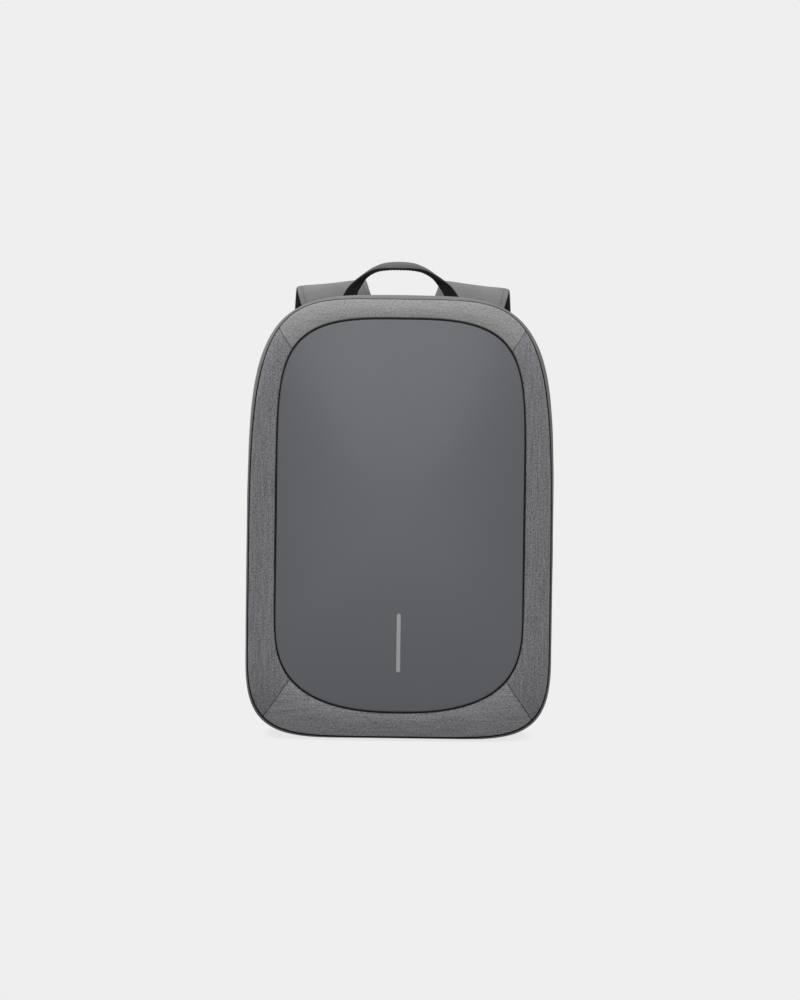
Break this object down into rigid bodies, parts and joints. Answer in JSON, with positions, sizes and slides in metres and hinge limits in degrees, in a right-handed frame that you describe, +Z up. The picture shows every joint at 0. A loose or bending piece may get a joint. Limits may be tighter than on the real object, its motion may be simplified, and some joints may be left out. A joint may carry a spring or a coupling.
{
  "type": "anti theft backpack",
  "caption": "Slim structured backpack with a smooth domed front panel, a mitred woven frame, a hidden back zip, a padded back, shoulder straps and a carrying handle.",
  "frame": {"origin": "middle of the flat base on the floor", "axes": "+Z up, the front panel faces -Y, +X is to the right as seen from the front"},
  "size_m": [0.3065, 0.2026, 0.4743],
  "materials": {
    "coated_panel": "smooth soft coated fabric, satin",
    "woven_fabric": "two-tone grey melange weave",
    "smooth_fabric": "fine smooth weave, matte",
    "piping": "near-black cord",
    "zip_tape": "near-black zip tape with a coil",
    "mesh_fabric": "padded air mesh",
    "webbing": "ribbed webbing",
    "plastic": "moulded, fine texture",
    "reflective": "flat retro-reflective film"
  },
  "bodies": {
    "root": {"front_panel": "coated_panel", "panel_piping": "piping", "frame_right": "woven_fabric", "frame_top": "woven_fabric", "frame_left": "woven_fabric", "frame_bottom": "woven_fabric", "frame_piping": "piping", "gusset": "smooth_fabric", "zip_tape": "zip_tape", "hinge_strip": "smooth_fabric", "zip_pull": "plastic", "back_rim": "smooth_fabric", "back_panel": "mesh_fabric", "reflective_strip": "reflective", "strap_outer_right": "smooth_fabric", "strap_outer_left": "smooth_fabric", "strap_mesh_right": "mesh_fabric", "strap_mesh_left": "mesh_fabric", "ladder_lock_right": "plastic", "ladder_lock_left": "plastic", "strap_webbing_right": "webbing", "strap_webbing_left": "webbing", "strap_anchor_right": "webbing", "strap_anchor_left": "webbing", "handle_grip": "smooth_fabric", "handle_webbing": "webbing"}
  },
  "joints": []
}
